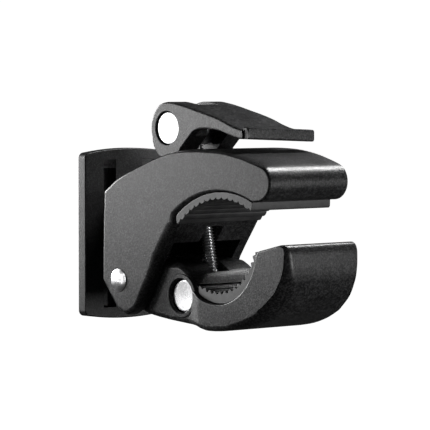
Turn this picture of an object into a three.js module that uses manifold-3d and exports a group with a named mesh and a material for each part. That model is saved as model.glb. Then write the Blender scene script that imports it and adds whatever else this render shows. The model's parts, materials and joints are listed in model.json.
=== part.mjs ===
// Super clamp: a slotted mounting plate carries a cast upper jaw. A lower jaw hinges between the
// upper jaw's cheeks and is pulled up by a threaded rod, a barrel nut and a quick-release cam lever.
//
// Millimetres, +Z up. X runs forward from the plate's back face to the mouth, Y along the clamped
// tube, and the origin is the centre of the plate's back face.

import * as THREE from 'three';
import { mergeVertices } from 'three/addons/utils/BufferGeometryUtils.js';
import Module from 'manifold-3d';

const wasm = await Module();
wasm.setup();

// ---- driving dimensions -------------------------------------------------------------------------

const gap = 0.3; // clearance between pieces that touch

const plate = { thick: 5, halfWidth: 24.9, halfHeight: 37.1, shoulder: 34.7, corner: 3, bevel: 0.5 };
const slot = { y: 11, halfWidth: 3.3, halfHeight: 32, ramp: 2.8, floor: 1.2 };
const neck = { halfWidth: 7, bottom: -17, top: 18.5, shoulder: -9.8, front: 16.8 };

const body = { rearX: 16.6, rearHalfWidth: 25.3, noseX: 117.4, noseHalfWidth: 22.4, bevel: 1.4 };
const cheekThick = 5.2;
const nose = { x: 109.8, z: 24.8, r: 7.6 };
const upperSeat = { x: 89.8, z: -20.8, r: 41.8 };

const hinge = { x: 27.1, z: -18.4, pinR: 3, headR: 4.9, headRise: 1.1 };
const arm = { halfWidth: 18.6, eyeR: 9.5 };
const jaw = { halfWidth: 20.4, bevel: 1.4, flareX: 66 };
const lowerSeat = { x: 82.6, z: -1.4, r: 24.5 };

const jawPin = { x: 59.8, z: -23.6, r: 6.85, boreR: 7.2, recess: 1.5 };
const leverPin = { x: 46.9, z: 46.3, r: 6.9, boreR: 7.2, recess: 0.9 };
const rod = { r: 3.175, boreR: 3.6, above: 9.9, below: 5.2 };
const rodSlotHalfWidth = 5;

const pad = { toothDepth: 0.9, upperInset: 0.4, lowerInset: 2.2 };

const lever = { halfWidth: 15.3, earThick: 9.5, eyeR: 10.3, bevel: 0.8, barFront: 96.2 };
const bar = { nearY: -14.4, farY: 23.9 };
const cam = { r: 12.95, from: -52, to: -115 };

const earInner = lever.halfWidth - lever.earThick;

// The rod leans back from the lower jaw's pin to the lever's pin.
const rodDir = new THREE.Vector3(leverPin.x - jawPin.x, 0, leverPin.z - jawPin.z);
const pinSpacing = rodDir.length();
rodDir.normalize();
const rodLean = Math.atan2(rodDir.x, rodDir.z);

// ---- finishes -----------------------------------------------------------------------------------

function finish(color, roughness, metalness) {
  return new THREE.MeshStandardMaterial({ color, roughness, metalness });
}

const blackCoat = finish(0x1b1b1d, 0.55, 0.2);
const blackPlate = finish(0x17171a, 0.5, 0.25);
const rubber = finish(0x2b2b2c, 0.9, 0);
const zinc = finish(0xc9cacb, 0.3, 1);
const steel = finish(0xb4b5b6, 0.35, 1);
const nylon = finish(0xd8d6cf, 0.6, 0);

// ---- solids -------------------------------------------------------------------------------------

function solid(geometry) {
  const bare = geometry.index ? geometry.toNonIndexed() : geometry.clone();
  bare.deleteAttribute('normal');
  bare.deleteAttribute('uv');
  const welded = mergeVertices(bare, 1e-4);
  return new wasm.Manifold(new wasm.Mesh({
    numProp: 3,
    vertProperties: new Float32Array(welded.attributes.position.array),
    triVerts: new Uint32Array(welded.index.array),
  }));
}

function geometryOf(manifold) {
  const mesh = manifold.getMesh();
  const geometry = new THREE.BufferGeometry();
  geometry.setAttribute('position', new THREE.BufferAttribute(new Float32Array(mesh.vertProperties), 3));
  geometry.setIndex(new THREE.BufferAttribute(new Uint32Array(mesh.triVerts), 1));
  return geometry;
}

const cut = (from, ...tools) => tools.reduce((left, tool) => left.subtract(tool), from);
const join = (first, ...others) => others.reduce((sum, other) => sum.add(other), first);

function box(x0, x1, y0, y1, z0, z1) {
  const geometry = new THREE.BoxGeometry(x1 - x0, y1 - y0, z1 - z0);
  geometry.translate((x0 + x1) / 2, (y0 + y1) / 2, (z0 + z1) / 2);
  return solid(geometry);
}

// A side profile in X and Z, carried along Y from y0 to y1, with its end edges bevelled.
function prismGeometry(profile, y0, y1, bevel = 0) {
  const shape = profile instanceof THREE.Shape ? profile : new THREE.Shape(profile);
  const geometry = new THREE.ExtrudeGeometry(shape, {
    depth: y1 - y0 - 2 * bevel,
    bevelEnabled: bevel > 0,
    bevelThickness: bevel,
    bevelSize: bevel,
    bevelOffset: -bevel,
    bevelSegments: 1,
    curveSegments: 10,
  });
  geometry.rotateX(Math.PI / 2);
  geometry.translate(0, y1 - bevel, 0);
  return geometry;
}

const prism = (profile, y0, y1, bevel) => solid(prismGeometry(profile, y0, y1, bevel));

// A round bar along Y.
function rodAlongY(x, z, r, y0, y1, sides = 36) {
  const geometry = new THREE.CylinderGeometry(r, r, y1 - y0, sides);
  geometry.translate(0, (y0 + y1) / 2, 0);
  geometry.translate(x, 0, z);
  return solid(geometry);
}

// A round bar along the threaded rod, from one distance past the lower jaw's pin to another.
function alongRod(r, from, to, sides = 24) {
  const geometry = new THREE.CylinderGeometry(r, r, to - from, sides);
  geometry.rotateX(Math.PI / 2);
  geometry.translate(0, 0, (from + to) / 2);
  geometry.rotateY(rodLean);
  geometry.translate(jawPin.x, 0, jawPin.z);
  return solid(geometry);
}

const P = (x, z) => new THREE.Vector2(x, z);

// The point on a circle at an angle, in degrees from +X towards +Z.
function polar(centre, r, deg) {
  const a = THREE.MathUtils.degToRad(deg);
  return P(centre.x + r * Math.cos(a), centre.z + r * Math.sin(a));
}

// Points on a circle from one angle to another.
function arc(centre, r, fromDeg, toDeg, steps) {
  const step = (toDeg - fromDeg) / steps;
  return Array.from({ length: steps + 1 }, (_, i) => polar(centre, r, fromDeg + i * step));
}

// A smooth curve through a few points.
function through(points, steps) {
  return new THREE.SplineCurve(points).getPoints(steps);
}

const group = new THREE.Group();

function add(name, shape, material) {
  const mesh = new THREE.Mesh(shape.isBufferGeometry ? shape : geometryOf(shape), material);
  mesh.name = name;
  group.add(mesh);
  return mesh;
}

// ---- mounting plate -----------------------------------------------------------------------------

// The plate's outline in Y and Z: straight sides and gently arched ends with rounded corners.
function plateShape() {
  const { halfWidth: w, halfHeight: h, shoulder: s, corner: c } = plate;
  const shape = new THREE.Shape();
  shape.moveTo(w, -s + c);
  shape.lineTo(w, s - c);
  shape.quadraticCurveTo(w, s, w - c, s + 0.8);
  shape.quadraticCurveTo(0, 2 * h - s - 0.8, -w + c, s + 0.8);
  shape.quadraticCurveTo(-w, s, -w, s - c);
  shape.lineTo(-w, -s + c);
  shape.quadraticCurveTo(-w, -s, -w + c, -s - 0.8);
  shape.quadraticCurveTo(0, -2 * h + s + 0.8, w - c, -s - 0.8);
  shape.quadraticCurveTo(w, -s, w, -s + c);
  return shape;
}

const screwHeights = { top: 12.5, bottom: -11.5 };
const dowelHeights = { upper: 5, lower: -5 };
const screw = { r: 2.5, headR: 4.6, headDeep: 2.6, length: 13.5, socketR: 1.5, socketDeep: 1.6 };
const dowel = { r: 1.5, length: 8 };

// A shape of revolution about X, from a profile of radius and X.
function turnedOnX(profile, z, sides = 28) {
  const geometry = new THREE.LatheGeometry(profile, sides);
  geometry.rotateZ(-Math.PI / 2);
  geometry.translate(0, 0, z);
  return solid(geometry);
}

function screwProfile(clear) {
  const end = screw.length + clear;
  return [
    P(0, -0.01), P(screw.headR + clear, -0.01), P(screw.headR + clear, 0.3),
    P(screw.r + clear, screw.headDeep + 0.3), P(screw.r + clear, end), P(0, end),
  ];
}

function mountingPlate() {
  const { thick, bevel } = plate;
  const geometry = new THREE.ExtrudeGeometry(plateShape(), {
    depth: thick - 2 * bevel, bevelThickness: bevel, bevelSize: bevel, bevelOffset: -bevel,
    bevelSegments: 1, curveSegments: 7,
  });
  // The shape's own X, Y and depth become Y, Z and X.
  geometry.applyMatrix4(new THREE.Matrix4().set(0, 0, 1, bevel, 1, 0, 0, 0, 0, 1, 0, 0, 0, 0, 0, 1));
  let result = solid(geometry);
  for (const side of [-1, 1]) {
    const y0 = side * slot.y - slot.halfWidth;
    const y1 = side * slot.y + slot.halfWidth;
    const opening = [
      P(slot.floor, -slot.halfHeight), P(thick + 1, -slot.halfHeight), P(thick + 1, slot.halfHeight),
      P(thick, slot.halfHeight), P(slot.floor, slot.halfHeight - slot.ramp),
    ];
    result = cut(result, prism(opening, y0, y1));
  }
  for (const z of Object.values(screwHeights)) {
    const openFace = [P(0, -1), P(screw.headR + gap, -1), P(screw.headR + gap, 0.1), P(0, 0.1)];
    result = cut(result, turnedOnX(screwProfile(gap), z), turnedOnX(openFace, z));
  }
  for (const z of Object.values(dowelHeights)) {
    result = cut(result, turnedOnX([P(0, 1.2), P(dowel.r + gap, 1.2), P(dowel.r + gap, 9), P(0, 9)], z));
  }
  return result;
}

add('mounting_plate', mountingPlate(), blackPlate);

for (const [place, z] of Object.entries(screwHeights)) {
  const socketX = screw.socketDeep;
  const profile = [
    P(0, socketX), P(screw.socketR, socketX), P(screw.socketR, 0.15), P(screw.headR, 0.15),
    P(screw.headR, 0.3), P(screw.r, screw.headDeep + 0.3), P(screw.r, screw.length), P(0, screw.length),
  ];
  add(`plate_screw_${place}`, turnedOnX(profile, z, 24), steel);
}

for (const [place, z] of Object.entries(dowelHeights)) {
  const end = 1.5 + dowel.length - gap;
  const profile = [P(0, 1.5), P(dowel.r, 1.5), P(dowel.r, end), P(0, end)];
  add(`plate_dowel_${place}`, turnedOnX(profile, z, 16), steel);
}

// ---- upper jaw ----------------------------------------------------------------------------------

// Half the width of the upper jaw, which narrows towards the nose.
function halfWidthAt(x) {
  const along = (x - body.rearX) / (body.noseX - body.rearX);
  return body.rearHalfWidth + along * (body.noseHalfWidth - body.rearHalfWidth);
}

function taperSides(geometry) {
  const position = geometry.attributes.position;
  for (let i = 0; i < position.count; i += 1) {
    position.setY(i, (position.getY(i) * halfWidthAt(position.getX(i))) / body.rearHalfWidth);
  }
  return geometry;
}

const upperProfile = [
  P(16.2, -18.6),
  P(17.2, 19.2),
  ...through([P(18.4, 20.3), P(25.2, 25), P(42, 31.9), P(54, 35.9), P(63, 37.5), P(75, 38), P(88, 37.5),
    P(99, 35.8), P(108, 33.4), P(112.3, 32)], 22),
  ...arc(nose, nose.r, 62, -92, 10),
  ...arc(upperSeat, upperSeat.r, 65.3, 132.2, 15),
  P(61.6, 7.6),
  P(62.2, 6.2),
  ...through([P(59.6, 1.9), P(56, -3.2), P(52, -8.9), P(46, -18.6), P(40.6, -26.2)], 8),
  ...through([P(37.2, -30.2), P(31.4, -33.0), P(26.2, -31.2)], 6),
];

// The hollow between the cheeks, open below, with the core behind the pad seat.
const upperHollow = [
  P(10, -60), P(10, neck.shoulder), P(21.4, neck.shoulder), P(21.4, 17),
  ...through([P(23, 19.4), P(33, 23.8), P(44, 28), P(54, 31.4), P(64, 33.2), P(80, 33.4), P(98, 31),
    P(106, 28.5)], 12),
  P(107, 24.5), P(100, 24.4), ...arc(upperSeat, upperSeat.r + 4.5, 82, 126, 7), P(57, 10.6), P(52.4, -1.6),
  P(70, -1.6), P(70, -60),
];

const cavityHalfWidth = body.rearHalfWidth - 1 - cheekThick;

function upperJawBody() {
  const { rearHalfWidth, bevel } = body;
  const shell = solid(taperSides(prismGeometry(upperProfile, -rearHalfWidth, rearHalfWidth, bevel)));
  const core = prism(upperHollow, -cavityHalfWidth, cavityHalfWidth);
  const backOfNeck = plate.thick + gap;
  const stem = join(
    box(backOfNeck, neck.front, -neck.halfWidth, neck.halfWidth, neck.bottom, neck.top),
    box(backOfNeck, 22, -neck.halfWidth, neck.halfWidth, neck.shoulder, neck.top),
  );
  const rodHole = prism([P(43, 50), P(45, 22), P(50.8, -8), P(64, -8), P(59, 12), P(57, 50)],
    -rodSlotHalfWidth, rodSlotHalfWidth);
  const pinBore = rodAlongY(hinge.x, hinge.z, hinge.pinR + gap, -30, 30, 32);
  // Each of the lever's feet turns in a shallow round seat in the crown.
  const seatR = cam.r + gap + 0.05;
  const seats = [[-lever.halfWidth - 0.4, -earInner + 0.4], [earInner - 0.4, lever.halfWidth + 0.4]]
    .map(([y0, y1]) => rodAlongY(leverPin.x, leverPin.z, seatR, y0, y1, 72));
  let result = cut(join(cut(shell, core), stem), rodHole, pinBore, ...seats);
  for (const z of Object.values(screwHeights)) {
    result = cut(result, turnedOnX(screwProfile(gap), z));
  }
  for (const z of Object.values(dowelHeights)) {
    result = cut(result, turnedOnX([P(0, 1), P(dowel.r + gap, 1), P(dowel.r + gap, 10), P(0, 10)], z));
  }
  return result;
}

add('upper_jaw_body', upperJawBody(), blackCoat);

// ---- rubber pads --------------------------------------------------------------------------------

// A toothed edge on a circle: rounded ridges that run along Y.
function teeth(centre, r, fromDeg, toDeg, count, towardsCentre) {
  const points = [];
  const step = (toDeg - fromDeg) / count;
  const crest = towardsCentre ? r - pad.toothDepth : r + pad.toothDepth;
  for (let i = 0; i < count; i += 1) {
    const start = fromDeg + i * step;
    points.push(polar(centre, r, start));
    points.push(...arc(centre, crest, start + 0.28 * step, start + 0.72 * step, 1));
  }
  return [...points, polar(centre, r, toDeg)];
}

const upperPadInner = { x: 89.2, z: -16.3, r: 34.7 };
const upperPadProfile = [
  ...arc(upperSeat, upperSeat.r - gap, 65.6, 131.5, 14),
  P(62.3, 7.9),
  P(62.8, 7.1),
  ...teeth(upperPadInner, upperPadInner.r, 138.6, 62.2, 13, true),
  P(106.6, 13.4),
];
const padReach = body.rearHalfWidth - pad.upperInset;
add('upper_pad', solid(taperSides(prismGeometry(upperPadProfile, -padReach, padReach))), rubber);

const lowerPadInner = { x: 81.4, z: 1.8, r: 23.6 };
const lowerPadProfile = [
  ...arc(lowerSeat, lowerSeat.r - gap, 239, 354, 18),
  P(105.6, -3.4),
  P(103.2, -3.2),
  ...teeth(lowerPadInner, lowerPadInner.r, 345, 246, 13, true),
  P(70.2, -18.8),
];
const lowerPadHalf = jaw.halfWidth - pad.lowerInset;
add('lower_pad', prism(lowerPadProfile, -lowerPadHalf, lowerPadHalf), rubber);

// ---- lower jaw ----------------------------------------------------------------------------------

const lowerProfile = [
  ...arc(hinge, arm.eyeR, 262, 70, 14),
  ...through([P(38, -8.8), P(50, -9.4), P(59, -10.6), P(64.4, -13.8), P(67.6, -18.6)], 10),
  ...arc(lowerSeat, lowerSeat.r, 232, 352, 20),
  P(107.6, -3.2),
  ...through([P(109, -2.6), P(115, -1.2), P(120.6, 0.2)], 4),
  ...through([P(123.6, -0.2), P(125, -3.4), P(124.9, -9), P(123.4, -16), P(120.6, -22.4), P(115, -28),
    P(108, -31.9), P(100.4, -34.5), P(90, -36.4), P(84, -37)], 20),
  ...through([P(77, -37.3), P(73.3, -36.8), P(69, -35.8), P(64, -35.3)], 5),
  P(47, -33.8),
  P(38, -32.6),
];

// The arm is a little narrower than the jaw, so that it fits between the cheeks.
function besideArm(side) {
  const outline = [
    P(0, arm.halfWidth), P(jaw.flareX, arm.halfWidth), P(jaw.flareX + 7, jaw.halfWidth + 0.1), P(0, 30),
  ].map((p) => P(p.x, side * p.y));
  const shape = new THREE.Shape(outline);
  const geometry = new THREE.ExtrudeGeometry(shape, { depth: 80, bevelEnabled: false });
  geometry.translate(0, 0, -60);
  return solid(geometry);
}

const spring = { wireR: 0.75, coilR: 5.4, turns: 5, halfWidth: 6.5 };
const bush = { r: 5.2, boreR: hinge.pinR + gap, length: 9, flangeR: 7, flangeThick: 1 };

function lowerJaw() {
  const full = prism(lowerProfile, -jaw.halfWidth, jaw.halfWidth, jaw.bevel);
  const blank = cut(full, besideArm(-1), besideArm(1));
  const rodPath = prism([P(48.6, 5), P(55.4, -25), P(62.6, -25), P(64, -19), P(66.5, 5)],
    -rodSlotHalfWidth + 0.6, rodSlotHalfWidth - 0.6);
  const pinBore = rodAlongY(jawPin.x, jawPin.z, jawPin.boreR, -30, 30);
  const bushBore = rodAlongY(hinge.x, hinge.z, bush.r + gap, -30, 30, 32);
  const springRoom = prism([P(10, -40), P(10, 0), P(40, 0), P(36.5, -18.4), P(34, -40)],
    -spring.halfWidth, spring.halfWidth);
  let result = cut(blank, rodPath, pinBore, bushBore, springRoom);
  for (const side of [-1, 1]) {
    const outer = side * (arm.halfWidth + 1);
    const inner = side * (arm.halfWidth - bush.flangeThick);
    const [y0, y1] = [outer, inner].sort((a, b) => a - b);
    result = cut(result, rodAlongY(hinge.x, hinge.z, bush.flangeR + gap, y0, y1, 32));
  }
  return result;
}

add('lower_jaw', lowerJaw(), blackCoat);

// ---- hinge --------------------------------------------------------------------------------------

// A shape of revolution about the hinge axis, from a profile of radius and Y.
function turnedOnHinge(profile, sides = 28) {
  const geometry = new THREE.LatheGeometry(profile, sides);
  geometry.translate(hinge.x, 0, hinge.z);
  return solid(geometry);
}

const hingeFace = halfWidthAt(hinge.x) + gap;
const washer = { r: 5.6, thick: 0.8 };

function hingePin() {
  const head = (sign, r, start) => [
    P(hinge.pinR, sign * start),
    P(r, sign * start),
    P(r * 0.96, sign * (start + 0.35 * hinge.headRise)),
    P(r * 0.72, sign * (start + 0.8 * hinge.headRise)),
    P(0, sign * (start + hinge.headRise)),
  ];
  const near = head(-1, hinge.headR, hingeFace).reverse();
  const far = head(1, hinge.headR - 0.6, hingeFace + washer.thick + gap);
  return turnedOnHinge([...near, ...far]);
}

add('hinge_pin', hingePin(), zinc);

const washerY = hingeFace;
add('hinge_washer', turnedOnHinge([
  P(hinge.pinR + gap, washerY), P(washer.r, washerY), P(washer.r, washerY + washer.thick),
  P(hinge.pinR + gap, washerY + washer.thick), P(hinge.pinR + gap, washerY),
]), zinc);

for (const [place, side] of [['near', -1], ['far', 1]]) {
  const face = arm.halfWidth + 0.1;
  const shoulder = arm.halfWidth - bush.flangeThick + gap;
  const end = arm.halfWidth - bush.length;
  const profile = [
    P(bush.boreR, side * end), P(bush.r, side * end), P(bush.r, side * shoulder),
    P(bush.flangeR, side * shoulder), P(bush.flangeR, side * face), P(bush.boreR, side * face),
    P(bush.boreR, side * end),
  ];
  add(`hinge_bush_${place}`, turnedOnHinge(side > 0 ? profile : profile.reverse()), nylon);
}

// A torsion spring round the hinge pin pushes the jaws apart: its rear leg rises to the underside of
// the upper jaw's neck, and its front leg lies against the front wall of the pocket in the arm.
const springSpan = spring.halfWidth - 1.6;
const springLeg = { frontX: 34.2, topZ: neck.shoulder - 0.6 };

class SpringPath extends THREE.Curve {
  getPoint(t, target = new THREE.Vector3()) {
    const leg = 0.06;
    const { x, z } = hinge;
    if (t < leg) {
      return target.set(THREE.MathUtils.lerp(springLeg.frontX, x, t / leg), -springSpan, z - spring.coilR);
    }
    if (t > 1 - leg) {
      const along = (t - 1 + leg) / leg;
      return target.set(x - spring.coilR, springSpan, THREE.MathUtils.lerp(z, springLeg.topZ, along));
    }
    const along = (t - leg) / (1 - 2 * leg);
    const turn = 2 * Math.PI * (along * (spring.turns + 0.25) - 0.25);
    const y = springSpan * (2 * along - 1);
    return target.set(x - spring.coilR * Math.cos(turn), y, z + spring.coilR * Math.sin(turn));
  }
}

function openingSpring() {
  const wire = new THREE.Shape(arc({ x: 0, z: 0 }, spring.wireR, 0, 300, 5));
  return new THREE.ExtrudeGeometry(wire, { extrudePath: new SpringPath(), steps: 90, bevelEnabled: false });
}

add('opening_spring', solid(openingSpring()), steel);

// ---- rod, barrel pin and barrel nut ---------------------------------------------------------------

// A barrel along Y with softened end edges.
function barrel(at, r, half) {
  const chamfer = 0.5;
  const geometry = new THREE.LatheGeometry([
    P(0, -half), P(r - chamfer, -half), P(r, -half + chamfer),
    P(r, half - chamfer), P(r - chamfer, half), P(0, half),
  ], 40);
  geometry.translate(at.x, 0, at.z);
  return solid(geometry);
}

const setScrew = { r: 2, length: 7, start: rod.boreR + 0.2 };

const jawPinHalf = arm.halfWidth - jawPin.recess;
const setScrewHole = rodAlongY(jawPin.x, jawPin.z, setScrew.r + gap, 0, 30, 20);
add('jaw_barrel_pin',
  cut(barrel(jawPin, jawPin.r, jawPinHalf), alongRod(rod.boreR, -20, 20), setScrewHole), zinc);
add('rod_set_screw', cut(
  rodAlongY(jawPin.x, jawPin.z, setScrew.r, setScrew.start, setScrew.start + setScrew.length, 20),
  rodAlongY(jawPin.x, jawPin.z, 1.1, setScrew.start + setScrew.length - 2, 30, 6)), steel);

const leverPinHalf = lever.halfWidth - leverPin.recess;
const nutHole = alongRod(rod.boreR, pinSpacing - 20, pinSpacing + 20);
add('lever_barrel_nut', cut(barrel(leverPin, leverPin.r, leverPinHalf), nutHole), zinc);

// The rod's top end has a groove with a ring in it, which stops the nut from running off the thread.
const stopRing = { from: 8.4, thick: 0.9, r: 4.5, grooveR: 2.5 };
const ringAt = pinSpacing + stopRing.from;
const groove = cut(alongRod(rod.r + 1, ringAt - 0.15, ringAt + stopRing.thick + 0.15),
  alongRod(stopRing.grooveR, ringAt - 1, ringAt + 3));
add('threaded_rod', cut(alongRod(rod.r, -rod.below, pinSpacing + rod.above), groove), zinc);
add('rod_stop_ring', cut(alongRod(stopRing.r, ringAt, ringAt + stopRing.thick),
  alongRod(stopRing.grooveR + gap, ringAt - 1, ringAt + 3)), steel);

// ---- cam lever ----------------------------------------------------------------------------------

const leverProfile = [
  ...arc(leverPin, lever.eyeR, 200, 160, 3),
  ...through([P(38.2, 52.2), P(41.6, 56), P(47.2, 57.4), P(54.2, 56.6), P(61, 55.2), P(67.5, 53.4),
    P(74.2, 51.7), P(80.8, 49.8), P(86, 48), P(91, 46.6)], 18),
  P(lever.barFront, 46.6),
  P(lever.barFront, 42.3),
  ...through([P(92.4, 42.3), P(89, 42.9), P(84.8, 44), P(80.6, 45.2), P(76, 46), P(71, 46.3), P(67, 46),
    P(63.6, 44.9), P(61.6, 43.2)], 12),
  P(55.7, 37.8),
  ...arc(leverPin, cam.r, cam.from, cam.to, 14),
  P(38.2, 38.6),
];

// The room between the ears, open below and behind, for the rod and for the jaw's crown.
const earGap = [
  P(30, 20), P(30, 80), P(52.6, 80), P(57.8, 49.8), P(60.6, 47), P(62, 50.6), P(74, 48.6), P(84, 46.6),
  P(84, 40), P(60, 20),
];

function camLever() {
  const blank = prism(leverProfile, -lever.halfWidth, lever.halfWidth, lever.bevel);
  const barBlank = prism([
    P(89.5, 42.3), P(lever.barFront, 42.3), P(lever.barFront, 47.2), P(93.6, 47.4), P(89.5, 46.4),
  ], bar.nearY, bar.farY, lever.bevel);
  const earRoom = prism(earGap, -earInner, earInner);
  const underside = prism([
    P(62.5, 30), P(61.6, 45.6), P(66, 49.2), P(76, 47.2), P(84, 45), P(86.5, 43), P(87, 30),
  ], -lever.halfWidth + 3.4, lever.halfWidth - 3.4);
  const groove = box(93.4, 100, -lever.halfWidth - 1, bar.nearY, 30, 60);
  const farStep = box(93.4, 100, lever.halfWidth - 1.2, lever.halfWidth + 1, 30, 60);
  const bore = rodAlongY(leverPin.x, leverPin.z, leverPin.boreR, -30, 30);
  return cut(join(cut(blank, groove, farStep, underside, earRoom), barBlank), bore);
}

add('cam_lever', camLever(), blackCoat);

export default group;
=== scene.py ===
import json
import math

import bmesh
import bpy
import numpy as np
from mathutils import Matrix, Vector


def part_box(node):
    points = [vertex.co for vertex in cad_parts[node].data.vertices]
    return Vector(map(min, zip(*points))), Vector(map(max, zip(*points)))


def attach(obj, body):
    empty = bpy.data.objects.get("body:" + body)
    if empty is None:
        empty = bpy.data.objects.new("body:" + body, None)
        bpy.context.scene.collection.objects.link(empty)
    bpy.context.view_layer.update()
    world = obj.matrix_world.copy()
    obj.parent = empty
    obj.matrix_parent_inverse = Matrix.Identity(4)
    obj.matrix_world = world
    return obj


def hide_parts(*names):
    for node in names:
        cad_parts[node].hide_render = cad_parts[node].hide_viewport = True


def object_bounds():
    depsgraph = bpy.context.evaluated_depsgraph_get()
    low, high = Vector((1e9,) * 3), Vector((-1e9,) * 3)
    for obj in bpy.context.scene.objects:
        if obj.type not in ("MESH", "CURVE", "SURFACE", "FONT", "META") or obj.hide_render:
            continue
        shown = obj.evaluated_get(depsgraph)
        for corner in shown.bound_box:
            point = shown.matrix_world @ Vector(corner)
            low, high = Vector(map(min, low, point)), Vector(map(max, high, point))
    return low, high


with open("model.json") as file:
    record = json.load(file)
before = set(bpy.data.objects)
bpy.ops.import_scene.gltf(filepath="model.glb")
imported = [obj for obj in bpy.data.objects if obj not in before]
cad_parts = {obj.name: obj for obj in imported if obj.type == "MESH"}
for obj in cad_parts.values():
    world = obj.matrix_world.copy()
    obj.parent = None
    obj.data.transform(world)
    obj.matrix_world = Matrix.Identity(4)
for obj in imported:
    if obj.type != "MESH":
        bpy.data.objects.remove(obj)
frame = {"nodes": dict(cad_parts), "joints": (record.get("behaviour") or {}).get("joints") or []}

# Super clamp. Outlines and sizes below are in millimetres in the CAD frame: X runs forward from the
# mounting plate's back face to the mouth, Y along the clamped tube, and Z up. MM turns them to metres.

cad_low, cad_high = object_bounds()

MM = 0.001

# ---- places taken from the frame ------------------------------------------------------------------

joints = {joint["name"]: joint for joint in frame["joints"]}


def joint_at(name):
    """The X and Z of a hinge, in millimetres."""
    x, _, z = joints[name]["pos_m"]
    return x / MM, z / MM


def node_span(name, axis):
    """The lowest and highest coordinate of a CAD node along an axis, in millimetres."""
    low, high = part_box(name)
    return low[axis] / MM, high[axis] / MM


HINGE_X, HINGE_Z = joint_at("jaw_hinge")
JAW_PIN_X, JAW_PIN_Z = joint_at("rod_pivot")
LEVER_X, LEVER_Z = joint_at("lever_hinge")

PLATE_THICK = node_span("mounting_plate", 0)[1]
PLATE_HALF_WIDTH = node_span("mounting_plate", 1)[1]
PLATE_HALF_HEIGHT = node_span("mounting_plate", 2)[1]
SLOT_Y = 11.0
SLOT_HALF_WIDTH = 3.3
SLOT_HALF_HEIGHT = 32.0
SLOT_RAMP = 2.8
SLOT_FLOOR = 1.2

BODY_REAR_X = 16.6
BODY_REAR_HALF = 25.3
BODY_NOSE_X = 117.4
BODY_NOSE_HALF = 22.4
CAVITY_HALF = 19.1
NECK_HALF = 7.0
NECK_LOW = -9.8
NECK_HIGH = 18.5
ARM_HALF = 18.6
JAW_HALF = 20.4
EYE_R = 9.5
ROD_SLOT_HALF = 5.0
SPRING_ROOM_HALF = 6.5

UPPER_SEAT = (89.8, -20.8, 41.8)
LOWER_SEAT = (82.6, -1.4, 24.5)
NOSE = (109.8, 24.8, 7.6)

PIN_R = 6.85
PIN_BORE_R = 7.2
NUT_R = 6.9
NUT_BORE_R = 7.2
HINGE_PIN_R = 3.0
BUSH_BORE_R = 5.5
BUSH_FLANGE_R = 7.3
PIN_BOSS_R = 9.3
PIN_BOSS_RISE = 0.45
ROD_R = 3.175
ROD_PITCH = 1.27
ROD_BELOW = 5.2
ROD_ABOVE = 9.9
LEVER_HALF = 15.3
EAR_THICK = 9.5
EAR_R = 10.3
CAM_R = 12.95
BAR_DROOP = 0.04
GAP = 0.3
REACH = 30

ROD_LENGTH = math.hypot(LEVER_X - JAW_PIN_X, LEVER_Z - JAW_PIN_Z)
ROD_LEAN = math.atan2(LEVER_X - JAW_PIN_X, LEVER_Z - JAW_PIN_Z)


# ---- outlines -------------------------------------------------------------------------------------

def arc(circle, start, end, steps):
    """Points on a circle (x, z, radius) between two angles in degrees from +X towards +Z."""
    x, z, r = circle
    turn = np.radians(np.linspace(start, end, steps + 1))
    return np.column_stack([x + r * np.cos(turn), z + r * np.sin(turn)])


def through(points, steps):
    """A smooth curve through a few points."""
    points = np.array(points, float)
    padded = np.vstack([points[0], points, points[-1]])
    curve = []
    for t in np.linspace(0, len(points) - 1, steps + 1):
        i = min(int(t), len(points) - 2)
        f = t - i
        a, b, c, d = padded[i:i + 4]
        curve.append(0.5 * (2 * b + (c - a) * f + (2 * a - 5 * b + 4 * c - d) * f * f
                            + (3 * b - a - 3 * c + d) * f ** 3))
    return np.array(curve)


def section(points, across=1.0, along=None, turn=90.0):
    """A stretch of an outline, with how far its end edge is rounded across the outline and along Y.

    Each can run from one value to another. The rounding meets the end face smoothly when it turns through
    90 degrees, and with a crisp edge when it turns through less.
    """
    points = np.array(points, float).reshape(-1, 2)
    along = across if along is None else along
    ends = [v if isinstance(v, tuple) else (v, v) for v in (across, along, turn)]
    return np.column_stack([points, *(np.linspace(*pair, len(points)) for pair in ends)])


def outline(*sections, blend=3.0):
    """One closed outline. The edge rounding changes gently where two stretches meet."""
    points = np.vstack(sections)
    apart = np.linalg.norm(points[:, :2] - np.roll(points[:, :2], -1, axis=0), axis=1)
    points = points[apart > 0.02]
    step = np.linalg.norm(points[:, :2] - np.roll(points[:, :2], -1, axis=0), axis=1)
    total = step.sum()
    at = np.concatenate([[0], np.cumsum(step)[:-1]])
    away = np.abs(at[:, None] - at[None, :])
    away = np.minimum(away, total - away)
    weight = np.exp(-((away / blend) ** 2)) * ((step + np.roll(step, 1)) / 2)[None, :]
    weight /= weight.sum(axis=1, keepdims=True)
    points[:, 2:] = weight @ points[:, 2:]
    return points


def inward_normals(points):
    edge = np.roll(points, -1, axis=0) - points
    edge /= np.linalg.norm(edge, axis=1, keepdims=True)
    following = np.roll(points, -1, axis=0)
    area = np.sum(points[:, 0] * following[:, 1] - points[:, 1] * following[:, 0])
    normal = np.sign(area) * np.column_stack([-edge[:, 1], edge[:, 0]])
    mean = normal + np.roll(normal, 1, axis=0)
    mean /= np.linalg.norm(mean, axis=1, keepdims=True)
    spread = np.clip(np.sum(mean * normal, axis=1, keepdims=True), 0.6, 1)
    return mean / spread


# ---- solids ---------------------------------------------------------------------------------------

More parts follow.
